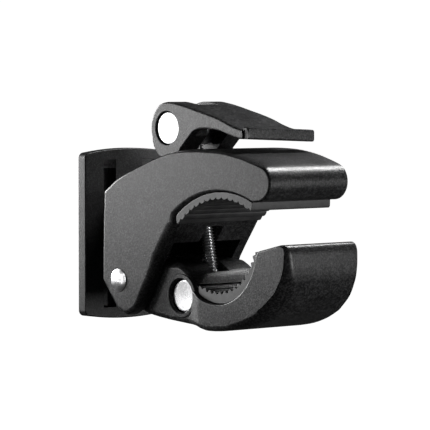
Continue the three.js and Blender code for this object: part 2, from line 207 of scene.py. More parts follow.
def solid(name, verts, faces):
    """A mesh object from millimetre vertices, with its faces pointing out."""
    mesh = bpy.data.meshes.new(name)
    mesh.from_pydata([tuple(v) for v in np.array(verts, float) * MM], [], faces)
    made = bmesh.new()
    made.from_mesh(mesh)
    bmesh.ops.recalc_face_normals(made, faces=made.faces)
    made.to_mesh(mesh)
    made.free()
    obj = bpy.data.objects.new(name, mesh)
    bpy.context.scene.collection.objects.link(obj)
    return obj


def ring_faces(rings, count):
    """Quads that join rings of count vertices, with a face over each end."""
    faces = []
    for ring in range(rings - 1):
        for i in range(count):
            j = (i + 1) % count
            a = ring * count
            faces.append((a + i, a + j, a + count + j, a + count + i))
    last = (rings - 1) * count
    return [tuple(range(count))[::-1], *faces, tuple(range(last, last + count))]


def loft(name, profile, y0, y1, steps=5, place=None, far_edge=None):
    """A solid of an outline in X and Z between two places along Y, with rounded end edges.

    far_edge gives the end at y1 an even rounding of its own.
    """
    points = profile[:, :2]
    inward = inward_normals(points)
    near = profile[:, 2:].T
    far = near if far_edge is None else np.tile([[far_edge], [far_edge], [90.0]], len(points))
    order = np.linspace(1, 0, steps + 1)
    rings = []
    for end, sign, edge, parts in ((y0, 1, near, order), (y1, -1, far, order[::-1])):
        across, along, whole = edge[0], edge[1], np.radians(edge[2])
        for part in parts:
            inset = across * (1 - np.cos(part * whole)) / (1 - np.cos(whole))
            flat = points + inward * inset[:, None]
            y = end + sign * along * (1 - np.sin(part * whole) / np.sin(whole))
            rings.append(np.column_stack([flat[:, 0], y, flat[:, 1]]))
    verts = np.vstack(rings)
    if place:
        verts = place(verts)
    return solid(name, verts, ring_faces(len(rings), len(points)))


def prism(profile, y0, y1):
    """A sharp-edged solid, for cutting."""
    profile = np.array(profile, float)[:, :2]
    return loft("tool", section(profile, 0, 0), y0, y1, steps=1)


def block(x0, x1, y0, y1, z0, z1):
    return prism([(x0, z0), (x1, z0), (x1, z1), (x0, z1)], y0, y1)


def turned(name, profile, x, z, sides=64):
    """A shape of revolution about a line along Y, from a list of (radius, y) that starts and ends on it."""
    profile = np.array(profile, float)
    turn = np.linspace(0, 2 * math.pi, sides, endpoint=False)
    verts, faces = [], []
    start = []
    for r, y in profile:
        start.append(len(verts))
        if r < 1e-6:
            verts.append((x, y, z))
        else:
            verts.extend((x + r * math.cos(t), y, z + r * math.sin(t)) for t in turn)
    closed = profile[0][0] > 1e-6
    pairs = list(zip(range(len(profile) - 1), range(1, len(profile))))
    if closed:
        pairs.append((len(profile) - 1, 0))
    for a, b in pairs:
        for i in range(sides):
            j = (i + 1) % sides
            low = [start[a] + i, start[a] + j] if profile[a][0] > 1e-6 else [start[a]]
            high = [start[b] + j, start[b] + i] if profile[b][0] > 1e-6 else [start[b]]
            if len(low) + len(high) > 2:
                faces.append(tuple(low + high))
    return solid(name, verts, faces)


def rounded(r, y, into, radius, steps=4):
    """Points of a rounded rim at (r, y): `into` is the sign of Y towards the material."""
    turn = np.linspace(0, math.pi / 2, steps + 1)
    return [(r - radius * (1 - math.sin(t)), y + into * radius * (1 - math.cos(t))) for t in turn]


def bore(x, z, r, y0, y1, faces=(), flare=0.5, sides=64):
    """A cutter for a round hole along Y, flared where it meets each face in `faces`."""
    points = [(0, y0), (r, y0)]
    for y in sorted(faces):
        out = -1 if y < 0 else 1
        near = [(r, y - out * flare), (r + flare, y), (r + flare, y + out * 0.6), (r, y + out * 0.6)]
        points += near if out > 0 else near[::-1]
    points += [(r, y1), (0, y1)]
    return turned("tool", points, x, z, sides)


def boolean(target, tools, operation):
    for tool in tools:
        step = target.modifiers.new(operation, "BOOLEAN")
        step.operation = operation
        step.solver = "EXACT"
        step.object = tool
    graph = bpy.context.evaluated_depsgraph_get()
    mesh = bpy.data.meshes.new_from_object(target.evaluated_get(graph))
    target.modifiers.clear()
    old, target.data = target.data, mesh
    bpy.data.meshes.remove(old)
    for tool in tools:
        bpy.data.objects.remove(tool)
    return target


def cut(target, *tools):
    return boolean(target, tools, "DIFFERENCE")


def join(target, *others):
    return boolean(target, others, "UNION")


def soften(obj, width):
    """Rounds the sharp edges that cutting left."""
    step = obj.modifiers.new("edges", "BEVEL")
    step.width = width * MM
    step.segments = 2
    step.limit_method = "ANGLE"
    step.angle_limit = math.radians(50)
    step.use_clamp_overlap = True
    return obj


def dress(obj, body, slot, material, *stands_for, sharp=38):
    """Gives a piece its body, finish and smooth shading, and hides the CAD nodes it stands for."""
    mesh = obj.data
    mesh.materials.clear()
    mesh.materials.append(material)
    mesh.shade_smooth()
    mesh.set_sharp_from_angle(angle=math.radians(sharp))
    shading = obj.modifiers.new("shading", "WEIGHTED_NORMAL")
    shading.keep_sharp = True
    shading.weight = 60
    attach(obj, body)
    if stands_for:
        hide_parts(*stands_for)
    return obj


# ---- materials ------------------------------------------------------------------------------------

class Finish:
    """A procedural material on a principled shader, in the piece's own coordinates."""

    def __init__(self, name, color, roughness, metallic=0.0, specular=0.5):
        self.material = bpy.data.materials.new(name)
        self.material.use_nodes = True
        self.nodes = self.material.node_tree.nodes
        self.links = self.material.node_tree.links
        self.shader = self.nodes["Principled BSDF"]
        self.shader.inputs["Base Color"].default_value = (*color, 1)
        self.shader.inputs["Roughness"].default_value = roughness
        self.shader.inputs["Metallic"].default_value = metallic
        self.shader.inputs["Specular IOR Level"].default_value = specular
        self.place = self.nodes.new("ShaderNodeTexCoord").outputs["Object"]

    def stretched(self, scale):
        node = self.nodes.new("ShaderNodeMapping")
        node.inputs["Scale"].default_value = scale
        self.links.new(self.place, node.inputs["Vector"])
        return node.outputs["Vector"]

    def noise(self, size_mm, detail=2.0, roughness=0.5, stretch=None, offset=0.0):
        node = self.nodes.new("ShaderNodeTexNoise")
        node.noise_dimensions = "4D"
        node.inputs["W"].default_value = offset
        node.inputs["Scale"].default_value = 1 / (size_mm * MM)
        node.inputs["Detail"].default_value = detail
        node.inputs["Roughness"].default_value = roughness
        self.links.new(self.stretched(stretch) if stretch else self.place, node.inputs["Vector"])
        return node.outputs["Fac"]

    def spread(self, value, low, high, to_low, to_high):
        node = self.nodes.new("ShaderNodeMapRange")
        node.inputs["From Min"].default_value = low
        node.inputs["From Max"].default_value = high
        node.inputs["To Min"].default_value = to_low
        node.inputs["To Max"].default_value = to_high
        self.links.new(value, node.inputs["Value"])
        return node.outputs["Result"]

    def math(self, operation, first, second):
        node = self.nodes.new("ShaderNodeMath")
        node.operation = operation
        for socket, value in zip(node.inputs, (first, second)):
            if isinstance(value, (int, float)):
                socket.default_value = value
            else:
                self.links.new(value, socket)
        return node.outputs[0]

    def tint(self, factor, dark, light):
        node = self.nodes.new("ShaderNodeMix")
        node.data_type = "RGBA"
        node.inputs["A"].default_value = (*dark, 1)
        node.inputs["B"].default_value = (*light, 1)
        self.links.new(factor, node.inputs["Factor"])
        self.links.new(node.outputs["Result"], self.shader.inputs["Base Color"])

    def within(self, low_mm, high_mm):
        """One inside a box of the piece and zero outside it."""
        parts = self.nodes.new("ShaderNodeSeparateXYZ")
        self.links.new(self.place, parts.inputs[0])
        result = 1.0
        for value, low, high in zip(parts.outputs, low_mm, high_mm):
            node = self.nodes.new("ShaderNodeMath")
            node.operation = "COMPARE"
            self.links.new(value, node.inputs[0])
            node.inputs[1].default_value = (low + high) / 2 * MM
            node.inputs[2].default_value = (high - low) / 2 * MM
            result = self.math("MULTIPLY", result, node.outputs[0])
        return result

    def paint_highlight(self, mask, color):
        """Paints a bright highlight colour where the mask is one, broken up by noise: a painted highlight.
        """
        node = self.nodes.new("ShaderNodeMix")
        node.data_type = "RGBA"
        self.links.new(self.shader.inputs["Base Color"].links[0].from_socket, node.inputs["A"])
        node.inputs["B"].default_value = (*color, 1)
        self.links.new(self.math("MULTIPLY", mask, self.noise(1.2, detail=3.0, offset=5.0)),
                       node.inputs["Factor"])
        self.links.new(node.outputs["Result"], self.shader.inputs["Base Color"])

    def rough(self, value):
        self.links.new(value, self.shader.inputs["Roughness"])

    def bump(self, height, depth_mm, strength=1.0):
        node = self.nodes.new("ShaderNodeBump")
        node.inputs["Distance"].default_value = depth_mm * MM
        node.inputs["Strength"].default_value = strength
        self.links.new(height, node.inputs["Height"])
        old = self.shader.inputs["Normal"].links
        if old:
            self.links.new(old[0].from_socket, node.inputs["Normal"])
        self.links.new(node.outputs["Normal"], self.shader.inputs["Normal"])


# Painted highlight: this bright colour is laid into the plate's coat inside the box below, in place of the
# light that falls on the ramp at the top of each slot.
SLOT_HIGHLIGHT_COLOR = (0.75, 0.75, 0.76)
SLOT_RAMP_HIGHLIGHT_BOX = ((1.0, -22.0, 28.4), (4.8, 22.0, 32.6))


def coat(name, dark, light, roughness, grain_mm, depth_mm, highlight_box=None):
    """A satin powder coat with a fine grain, faint handling marks and perhaps a painted highlight inside
    one box.
    """
    made = Finish(name, dark, roughness, specular=0.38)
    grain = made.noise(grain_mm, detail=3.0, roughness=0.6)
    cloud = made.noise(14, detail=4.0, roughness=0.6, offset=3.0)
    speckle = made.spread(made.noise(grain_mm * 0.8, detail=1.0, offset=7.0), 0.42, 0.68, 0.0, 1.0)
    mottle = made.math("MULTIPLY", speckle, made.spread(cloud, 0.3, 0.7, 0.55, 1.0))
    made.tint(mottle, dark, light)
    # Painted highlight: a bright colour inside the box stands in for light on the slot ramps.
    if highlight_box:
        made.paint_highlight(made.within(*highlight_box), SLOT_HIGHLIGHT_COLOR)
    worn = made.spread(cloud, 0.3, 0.7, roughness - 0.05, roughness + 0.05)
    made.rough(made.math("ADD", worn, made.spread(grain, 0.3, 0.7, -0.05, 0.05)))
    made.bump(grain, depth_mm)
    return made.material


def rubber(name):
    """Matt moulded rubber with a dusty, slightly mottled face."""
    made = Finish(name, (0.06, 0.06, 0.06), 0.5, specular=0.6)
    grain = made.noise(0.35, detail=3.0, roughness=0.65)
    cloud = made.noise(5, detail=4.0, offset=2.0)
    made.tint(made.spread(cloud, 0.3, 0.7, 0, 1), (0.04, 0.04, 0.041), (0.08, 0.08, 0.081))
    made.rough(made.spread(grain, 0.3, 0.7, 0.44, 0.6))
    made.bump(grain, 0.05)
    return made.material


def brushed(name, color, roughness, scratch_mm, stretch):
    """Bright plated steel with fine scratches that run one way and a few cloudy patches."""
    made = Finish(name, color, roughness, metallic=1.0)
    lines = made.noise(scratch_mm, detail=3.0, roughness=0.7, stretch=stretch)
    cloud = made.noise(2.6, detail=4.0, roughness=0.65, offset=4.0)
    dark = tuple(0.72 * c for c in color)
    made.tint(made.spread(cloud, 0.35, 0.6, 0, 1), dark, color)
    made.rough(made.math("ADD", made.spread(lines, 0.3, 0.7, roughness - 0.07, roughness + 0.1),
                         made.spread(cloud, 0.3, 0.7, 0.06, -0.04)))
    made.bump(lines, 0.006)
    made.bump(made.noise(1.6, detail=2.0, offset=9.0), 0.02)
    return made.material


CAST = coat("black_coat_cast", (0.009, 0.009, 0.0095), (0.1, 0.1, 0.102), 0.34, 0.8, 0.08)
# The plate's coat paints a highlight on the ramp at the top of each slot.
PLATE = coat("black_coat_plate", (0.011, 0.011, 0.0115), (0.05, 0.05, 0.051), 0.4, 0.6, 0.06,
             highlight_box=SLOT_RAMP_HIGHLIGHT_BOX)
RUBBER = rubber("pad_rubber_moulded")
ZINC = brushed("zinc_bright", (0.86, 0.86, 0.87), 0.3, 0.25, (1, 1, 0.12))
THREAD = brushed("zinc_thread", (0.93, 0.93, 0.94), 0.27, 0.3, (1, 1, 1))
STEEL = brushed("spring_steel", (0.5, 0.5, 0.51), 0.33, 0.3, (0.3, 1, 1))


def nylon(name):
    made = Finish(name, (0.62, 0.6, 0.54), 0.5)
    made.tint(made.noise(2.5, detail=3.0), (0.52, 0.5, 0.44), (0.7, 0.68, 0.62))
    made.rough(made.spread(made.noise(0.4, offset=5.0), 0.3, 0.7, 0.4, 0.6))
    made.bump(made.noise(0.5, detail=2.0, offset=6.0), 0.01)
    return made.material


NYLON = nylon("nylon_natural")


# ---- mounting plate -------------------------------------------------------------------------------

def mounting_plate():
    corner, rounding = 2.6, 0.6
    side = PLATE_HALF_WIDTH - corner
    shoulder = PLATE_HALF_HEIGHT - 4.3
    rise = PLATE_HALF_HEIGHT - shoulder - corner
    arch_r = (side ** 2 + rise ** 2) / (2 * rise)
    sweep = 0.94 * math.degrees(math.asin(side / arch_r))
    edge = []
    for sign, turn in ((1, 0), (-1, 180)):
        arch_z = sign * (PLATE_HALF_HEIGHT - arch_r)
        edge += [
            section(arc((sign * side, sign * shoulder, corner), turn, turn + 90, 8), rounding),
            section(arc((0, arch_z, arch_r), turn + 90 - sweep, turn + 90 + sweep, 24), rounding),
            section(arc((-sign * side, sign * shoulder, corner), turn + 90, turn + 180, 8), rounding),
        ]
    plate = loft("mounting_plate_finished", outline(*edge), 0, PLATE_THICK, steps=4,
                 place=lambda v: v[:, [1, 0, 2]])
    for side_sign in (-1, 1):
        y = side_sign * SLOT_Y
        slot = [(SLOT_FLOOR, -SLOT_HALF_HEIGHT), (PLATE_THICK + 1, -SLOT_HALF_HEIGHT),
                (PLATE_THICK + 1, SLOT_HALF_HEIGHT), (PLATE_THICK - 0.4, SLOT_HALF_HEIGHT),
                (SLOT_FLOOR, SLOT_HALF_HEIGHT - SLOT_RAMP)]
        cut(plate, prism(slot, y - SLOT_HALF_WIDTH, y + SLOT_HALF_WIDTH))
    for name in ("plate_screw_top", "plate_screw_bottom"):
        low, high = node_span(name, 2)
        z = (low + high) / 2
        head = (high - low) / 2 + GAP
        sink = turned("tool", [(0, -1), (head, -1), (head, 0.3), (2.8, 2.9), (2.8, 9), (0, 9)], 0, 0, 48)
        sink.data.transform(along_x(z))
        cut(plate, sink)
    soften(plate, 0.35)
    return dress(plate, "upper_jaw", "black_plate", PLATE, "mounting_plate")


def along_x(z):
    """Turns a piece made along Y to lie along X at a height."""
    return Matrix(((0, 1, 0, 0), (-1, 0, 0, 0), (0, 0, 1, z * MM), (0, 0, 0, 1)))


# ---- upper jaw ------------------------------------------------------------------------------------

def half_width_at(x):
    along = (x - BODY_REAR_X) / (BODY_NOSE_X - BODY_REAR_X)
    return BODY_REAR_HALF + along * (BODY_NOSE_HALF - BODY_REAR_HALF)


def taper(verts):
    verts[:, 1] *= half_width_at(verts[:, 0]) / BODY_REAR_HALF
    return verts


def upper_outline():
    return outline(
        section([(16.3, -18.6), (16.4, -10), (16.7, 4), (17.2, 19.2)], 1.8),
        section(through([(18.4, 20.3), (25.2, 25), (32, 28.2)], 10), 1.8, 3),
        section(through([(32, 28.2), (42, 31.9), (54, 35.9), (63, 37.5), (75, 38), (88, 37.5), (99, 35.8),
                         (108, 33.4), (112.3, 32)], 46), (1.7, 1.2), 8),
        section(arc(NOSE, 62, -60, 22), 1.1),
        section(arc(NOSE, -65, -92, 6), (1.1, 0.9)),
        section(arc(UPPER_SEAT, 65.3, 90, 20), (0.6, 0.9)),
        section(arc(UPPER_SEAT, 90, 132.2, 34), (0.9, 2.6)),
        section([(61.5, 8.8), (61.5, 7.8), (61.9, 6.8)], (2.8, 4.4), (2.6, 3.6)),
        section(through([(61.6, 6.3), (58.4, 1.8), (54.8, -3.1), (50.7, -9)], 18), (4.9, 4.0), 3.6),
        section(through([(50.4, -9.5), (48.7, -12.8), (45.2, -18.8), (40.4, -26.2)], 14),
                (3.9, 2.6), (3.4, 2.6)),
        section(through([(39.9, -26.9), (37.2, -30.2), (31.4, -33), (26.2, -31.2)], 18), 2.2),
        section([(24.9, -29.7), (22.2, -26.4), (19.4, -22.9), (17.4, -20.2)], 1.9),
    )


def upper_jaw_body():
    body = loft("upper_jaw_body_finished", upper_outline(), -BODY_REAR_HALF, BODY_REAR_HALF, steps=7,
                place=taper, far_edge=0.9)
    hollow = np.vstack([
        [(10, -60), (10, NECK_LOW), (21.4, NECK_LOW), (21.4, 17)],
        through([(23, 19.4), (33, 23.8), (44, 28), (54, 31.4), (64, 33.2), (80, 33.4), (98, 31),
                 (106, 28.5)], 30),
        [(107, 24.5), (100, 24.4)],
        arc((UPPER_SEAT[0], UPPER_SEAT[1], UPPER_SEAT[2] + 4.5), 82, 126, 20),
        [(57, 10.6), (52.4, -1.6), (70, -1.6), (70, -60)],
    ])
    neck = prism([(PLATE_THICK + GAP, -17), (16.8, -17), (16.8, NECK_LOW), (22, NECK_LOW), (22, NECK_HIGH),
                  (PLATE_THICK + GAP, NECK_HIGH)], -NECK_HALF, NECK_HALF)
    rod_hole = prism([(43, 50), (45, 22), (50.8, -8), (64, -8), (59, 12), (57, 50)],
                     -ROD_SLOT_HALF, ROD_SLOT_HALF)
    cut(body, prism(hollow, -CAVITY_HALF, CAVITY_HALF))
    join(body, neck)
    seats = [bore(LEVER_X, LEVER_Z, CAM_R + 0.35, side * (LEVER_HALF + 0.4),
                  side * (LEVER_HALF - EAR_THICK - 0.4), sides=144) for side in (-1, 1)]
    cut(body, rod_hole, *seats)
    cut(body, bore(HINGE_X, HINGE_Z, HINGE_PIN_R + GAP, -REACH, REACH))
    return dress(body, "upper_jaw", "black_coat", CAST, "upper_jaw_body")


# ---- rubber pads ----------------------------------------------------------------------------------

def toothed(circle, start, end, count, depth, land, power):
    """A toothed edge on a circle: rounded teeth that point at the middle, with narrow gaps between them."""
    x, z, r = circle
    step = (end - start) / count
    points = []
    for i in range(count):
        for f in np.linspace(0, 1, 15)[:-1]:
            across = min(1.0, f / land) ** 0.8
            reach = depth * max(0.0, math.sin(math.pi * across)) ** power
            turn = math.radians(start + (i + f) * step)
            points.append((x + (r - reach) * math.cos(turn), z + (r - reach) * math.sin(turn)))
    return points


def upper_pad():
    seat = (UPPER_SEAT[0], UPPER_SEAT[1], UPPER_SEAT[2] - GAP)
    profile = outline(
        section(arc(seat, 65.6, 131.4, 50), 0.3),
        section([(62.35, 9.4), (62.3, 8.2), (62.45, 7.3), (63.0, 6.8), (63.7, 7.0), (64.4, 7.9)], 0.3),
        section(toothed((89.2, -16.3, 34.9), 133.8, 62.3, 13, 0.85, 0.94, 0.5), 0.15),
        section([(105.6, 13.6), (106.3, 13.7), (106.8, 14.4)], 0.3),
        blend=0.6,
    )
    half = BODY_REAR_HALF - 0.4
    pad = loft("upper_pad_moulded", profile, -half, half, steps=2, place=taper)
    return dress(pad, "upper_jaw", "pad_rubber", RUBBER, "upper_pad", sharp=30)


def lower_pad():
    seat = (LOWER_SEAT[0], LOWER_SEAT[1], LOWER_SEAT[2] - GAP)
    profile = outline(
        section(arc(seat, 240, 353, 60), 0.35),
        section([(106.2, -3.5), (105.2, -3.3), (104.2, -3.3)], 0.3),
        section(toothed((81.4, 1.8, 23.8), 345, 247, 13, 1.3, 0.92, 1.5), 0.15),
        section([(71.6, -19.2), (70.6, -18.9), (70.1, -19.5), (70.0, -20.8), (70.2, -21.9)], 0.4),
        blend=0.6,
    )
    half = JAW_HALF - 2.2
    pad = loft("lower_pad_moulded", profile, -half, half, steps=2)
    return dress(pad, "lower_jaw", "pad_rubber", RUBBER, "lower_pad", sharp=30)


# ---- lower jaw ------------------------------------------------------------------------------------

def lower_outline():
    eye = (HINGE_X, HINGE_Z, EYE_R)
    return outline(
        section(arc(eye, 262, 70, 36), 1.2),
        section(through([(32, -9.2), (38, -8.8), (50, -9.4), (56, -10)], 16), 3.2, 6),
        section(through([(56, -10), (59, -10.6), (64.4, -13.8), (67.6, -18.6)], 16), 2.2, 3.2),
        section(arc(LOWER_SEAT, 226.5, 352, 66), 0.5),
        section(through([(107.6, -3.2), (109, -2.6), (115, -1.2), (120.6, 0.2)], 14), 0.8),
        section(through([(120.9, 0.25), (122.6, 0.2), (124.1, -0.9), (124.95, -3.4), (125.05, -8)], 18),
                (0.9, 1.9), (1.2, 3.8), (80, 45)),
        section(through([(125, -9), (124.5, -13), (123.4, -16.6), (120.5, -22.4), (115, -28)], 24),
                (2.0, 5.0), (4.0, 10.0), 45),
        section(through([(114.4, -28.5), (108, -31.9), (100.4, -34.5), (93, -35.9)], 18),
                (5.0, 3.0), (10.0, 3.5), (45, 80)),
        section(through([(92, -36.05), (84, -36.95), (77, -37.25), (73.3, -36.8), (69, -35.8),
                         (64, -35.3)], 22), 2.4),
        section([(58, -34.8), (51, -34.2), (44, -33.4), (38, -32.5)], 2.2),
    )


def flare(verts):
    """Widens the arm smoothly into the jaw."""
    along = np.clip((verts[:, 0] - 64) / 9, 0, 1)
    smooth = along * along * (3 - 2 * along)
    verts[:, 1] *= (ARM_HALF + (JAW_HALF - ARM_HALF) * smooth) / JAW_HALF
    return verts


def sliced(obj, places):
    """Adds a loop of edges across the piece at each X, so that it can bend there."""
    made = bmesh.new()
    made.from_mesh(obj.data)
    for x in places:
        everything = made.verts[:] + made.edges[:] + made.faces[:]
        bmesh.ops.bisect_plane(made, geom=everything, dist=1e-7,
                               plane_co=(x * MM, 0, 0), plane_no=(1, 0, 0))
    made.to_mesh(obj.data)
    made.free()
    return obj


def reshape(obj, change):
    """Moves a piece's vertices by a function of their places in millimetres."""
    co = np.empty(len(obj.data.vertices) * 3, np.float32)
    obj.data.vertices.foreach_get("co", co)
    verts = change(co.reshape(-1, 3).astype(float) / MM) * MM
    obj.data.vertices.foreach_set("co", verts.astype(np.float32).ravel())
    obj.data.update()
    return obj


def lower_jaw():
    jaw = loft("lower_jaw_finished", lower_outline(), -JAW_HALF, JAW_HALF, steps=7, far_edge=0.8)
    sliced(jaw, np.linspace(64, 73, 10))
    reshape(jaw, flare)
    face = ARM_HALF + PIN_BOSS_RISE
    inside = PIN_BORE_R - 0.6
    bosses = [turned("tool", [(inside, side * (ARM_HALF - 2)), (PIN_BOSS_R, side * (ARM_HALF - 2)),
                              *rounded(PIN_BOSS_R, side * face, -side, PIN_BOSS_RISE)[::-1],
                              (inside, side * face)], JAW_PIN_X, JAW_PIN_Z) for side in (-1, 1)]
    join(jaw, *bosses)
    half = ROD_SLOT_HALF - 0.6
    rod_path = prism([(48.6, 5), (55.4, -25), (62.6, -25), (64, -19), (66.5, 5)], -half, half)
    spring_room = prism([(10, -40), (10, 0), (40, 0), (36.5, -18.4), (34, -40)],
                        -SPRING_ROOM_HALF, SPRING_ROOM_HALF)
    cut(jaw, rod_path, bore(JAW_PIN_X, JAW_PIN_Z, PIN_BORE_R, -REACH, REACH, (-face, face), 0.4),
        bore(HINGE_X, HINGE_Z, BUSH_BORE_R, -REACH, REACH), spring_room)
    flanges = [turned("tool", [(0, side * (ARM_HALF - 1)), (BUSH_FLANGE_R, side * (ARM_HALF - 1)),
                               (BUSH_FLANGE_R, side * 20), (0, side * 20)], HINGE_X, HINGE_Z, 48)
               for side in (-1, 1)]
    cut(jaw, *flanges)
    return dress(jaw, "lower_jaw", "black_coat", CAST, "lower_jaw")


# ---- pins, nut and rod ----------------------------------------------------------------------------

def barrel(name, x, z, r, half, cross_hole):
    """A solid barrel along Y with rounded rims and a faint turned dish in each end."""
    dish = [(0, -half + 0.18), (r * 0.5, -half + 0.1), (r * 0.86, -half + 0.02)]
    near = dish + [(p, -y) for p, y in rounded(r, half, -1, 0.55, 5)]
    far = [(p, -y) for p, y in near[::-1]]
    pin = turned(name, near + far, x, z, 96)
    hole = turned("tool", [(0, -20), (cross_hole, -20), (cross_hole, 20), (0, 20)], 0, 0, 40)
    hole.data.transform(rod_frame(z))
    return cut(pin, hole)


def rod_frame(z):
    """Turns a piece made along Y to lie along the threaded rod, about the rod's point at height z."""
    x = JAW_PIN_X + (z - JAW_PIN_Z) * math.tan(ROD_LEAN)
    lean = Matrix.Rotation(ROD_LEAN, 4, "Y")
    stand = Matrix.Rotation(-math.pi / 2, 4, "X")
    return Matrix.Translation((x * MM, 0, z * MM)) @ lean @ stand


def threaded_rod():
    """The rod with its real thread: the radius follows a helix, and both ends are chamfered."""
    sides, per_pitch = 40, 12
    low = -ROD_BELOW
    high = ROD_LENGTH + ROD_ABOVE
    groove = (ROD_LENGTH + 8.2, ROD_LENGTH + 9.5)
    rows = int((high - low) / ROD_PITCH * per_pitch)
    depth = 0.6 * ROD_PITCH
    verts = []
    for row in range(rows + 1):
        at = low + (high - low) * row / rows
        chamfer = max(0.0, 1.0 - (at - low), 0.5 - (high - at))
        for i in range(sides):
            turn = 2 * math.pi * i / sides
            phase = (at / ROD_PITCH - i / sides) % 1
            flank = np.clip((abs(phase - 0.5) * 2 - 0.1) / 0.78, 0, 1)
            r = min(ROD_R - depth * flank, ROD_R - chamfer)
            if groove[0] < at < groove[1]:
                r = min(r, 2.5)
            verts.append((r * math.cos(turn), -at, r * math.sin(turn)))
    rod = solid("threaded_rod_cut", verts, ring_faces(rows + 1, sides))
    rod.data.transform(rod_frame(JAW_PIN_Z))
    return dress(rod, "rod", "zinc_steel", THREAD, "threaded_rod", sharp=55)


def hinge_pin():
    """A riveted pin: a domed head on each side, a little uneven where it was formed."""
    low, high = node_span("hinge_pin", 1)
    near_r = (node_span("hinge_pin", 0)[1] - node_span("hinge_pin", 0)[0]) / 2
    far_r = near_r - 0.6
    face = half_width_at(HINGE_X) + 0.12
    dome = [(math.sin(t), math.cos(t)) for t in np.linspace(0, math.pi / 2, 12)]
    near = [(near_r * s, -face + (low + face) * c ** 1.6) for s, c in dome]
    far_face = face + 1.25
    far = [(far_r * s, far_face + (high - far_face) * c ** 1.6) for s, c in dome[::-1]]
    pin = turned("hinge_pin_riveted", near + [(HINGE_PIN_R, -face), (HINGE_PIN_R, far_face)] + far,
                 HINGE_X, HINGE_Z, 64)

    def dent(verts):
        away = verts - np.array([HINGE_X, 0, HINGE_Z])
        turn = np.arctan2(away[:, 2], away[:, 0])
        r = np.hypot(away[:, 0], away[:, 2])
        outer = np.clip((np.abs(verts[:, 1]) - face - 0.05) / 0.3, 0, 1)
        wave = 0.07 * np.sin(3 * turn + 0.6) * np.clip(r / 3, 0, 1) + 0.02 * np.sin(7 * turn + r)
        verts[:, 1] -= np.sign(verts[:, 1]) * outer * (0.12 + wave)
        return verts

    reshape(pin, dent)
    return dress(pin, "upper_jaw", "zinc_steel", ZINC, "hinge_pin", sharp=60)


def barrels():
    half = node_span("jaw_barrel_pin", 1)[1]
    pin = barrel("jaw_barrel_pin_turned", JAW_PIN_X, JAW_PIN_Z, PIN_R, half, 3.6)
    dress(pin, "rod", "zinc_steel", ZINC, "jaw_barrel_pin")
    half = node_span("lever_barrel_nut", 1)[1]
    nut = barrel("lever_barrel_nut_turned", LEVER_X, LEVER_Z, NUT_R, half, 3.5)
    dress(nut, "nut", "zinc_steel", ZINC, "lever_barrel_nut")


# ---- cam lever ------------------------------------------------------------------------------------

def lever_outline():
    return outline(
        section(arc((LEVER_X, LEVER_Z, EAR_R), 200, 160, 10), 1.0),
        section(through([(38.2, 52.2), (41.6, 56), (47.2, 57.4), (54.2, 56.6), (61, 55.2), (67.5, 53.6),
                         (74.2, 52), (80.8, 50.1), (86, 48.2), (91, 46.7)], 50), 0.9, 1.2),
        section([(94.4, 46.0), (95.6, 45.8), (96.1, 45.2)], 0.7),
        section([(96.2, 43.0), (95.8, 42.4)], 0.7),
        section(through([(92.4, 42.3), (89, 42.9), (84.8, 44), (80.6, 45.2), (76, 46), (71, 46.3), (67, 46),
                         (63.6, 44.9), (61.6, 43.2)], 34), 0.8),
        section([(60, 41.8), (57.6, 39.5), (55.7, 37.8)], 0.8),
        section(arc((LEVER_X, LEVER_Z, CAM_R), -52, -115, 24), 0.8),
        section([(39.6, 36.6), (38.2, 38.6), (37.5, 40.6)], 0.9),
        blend=1.5,
    )


def cam_lever():
    bar_near, bar_front, bar_far = -14.4, 96.2, 23.9
    lever = loft("cam_lever_finished", lever_outline(), -LEVER_HALF, LEVER_HALF, steps=5)
    inner = LEVER_HALF - EAR_THICK
    ear_room = prism([(30, 20), (30, 80), (52.6, 80), (57.8, 49.8), (60.6, 47), (62, 50.6), (74, 48.6),
                      (84, 46.6), (84, 40), (60, 20)], -inner, inner)
    underside = prism([(62.5, 30), (61.6, 45.6), (66, 49.2), (76, 47.2), (84, 45), (86.5, 43), (87, 30)],
                      -LEVER_HALF + 3.4, LEVER_HALF - 3.4)
    near_step = block(93.4, 100, -LEVER_HALF - 1, bar_near, 30, 60)
    far_step = block(93.4, 100, LEVER_HALF - 1.2, LEVER_HALF + 1, 30, 60)
    cut(lever, near_step, far_step, underside, ear_room)
    bar = loft("tool", outline(
        section([(89.5, 42.35), (92, 42.3), (95.4, 42.3), (96.0, 42.6), (bar_front, 43.2)], 0.9),
        section([(bar_front, 46.4), (96.0, 47.0), (95.5, 47.25), (93.9, 47.35), (93.2, 47.1), (92, 46.7),
                 (89.5, 46.3)], 0.9),
        blend=0.8), bar_near, bar_far, steps=4)

    def droop(verts):
        verts[:, 2] -= BAR_DROOP * np.clip(verts[:, 1] - bar_near, 0, None)
        return verts

    join(lever, reshape(bar, droop))
    cut(lever, bore(LEVER_X, LEVER_Z, NUT_BORE_R, -REACH, REACH, (-LEVER_HALF, LEVER_HALF), 0.15, 96))
    return dress(lever, "lever", "black_coat", CAST, "cam_lever")


# ---- spring ---------------------------------------------------------------------------------------

def swept(name, path, radius, sides=10):
    """A round wire along a list of points, closed at both ends."""
    path = np.array(path, float)
    tangent = np.gradient(path, axis=0)
    tangent /= np.linalg.norm(tangent, axis=1, keepdims=True)
    side = np.cross(tangent[0], [0.3, 0.2, 0.9])
    verts = []
    for point, along in zip(path, tangent):
        side -= along * side.dot(along)
        side /= np.linalg.norm(side)
        up = np.cross(along, side)
        for i in range(sides):
            turn = 2 * math.pi * i / sides
            verts.append(point + radius * (side * math.cos(turn) + up * math.sin(turn)))
    return solid(name, verts, ring_faces(len(path), sides))


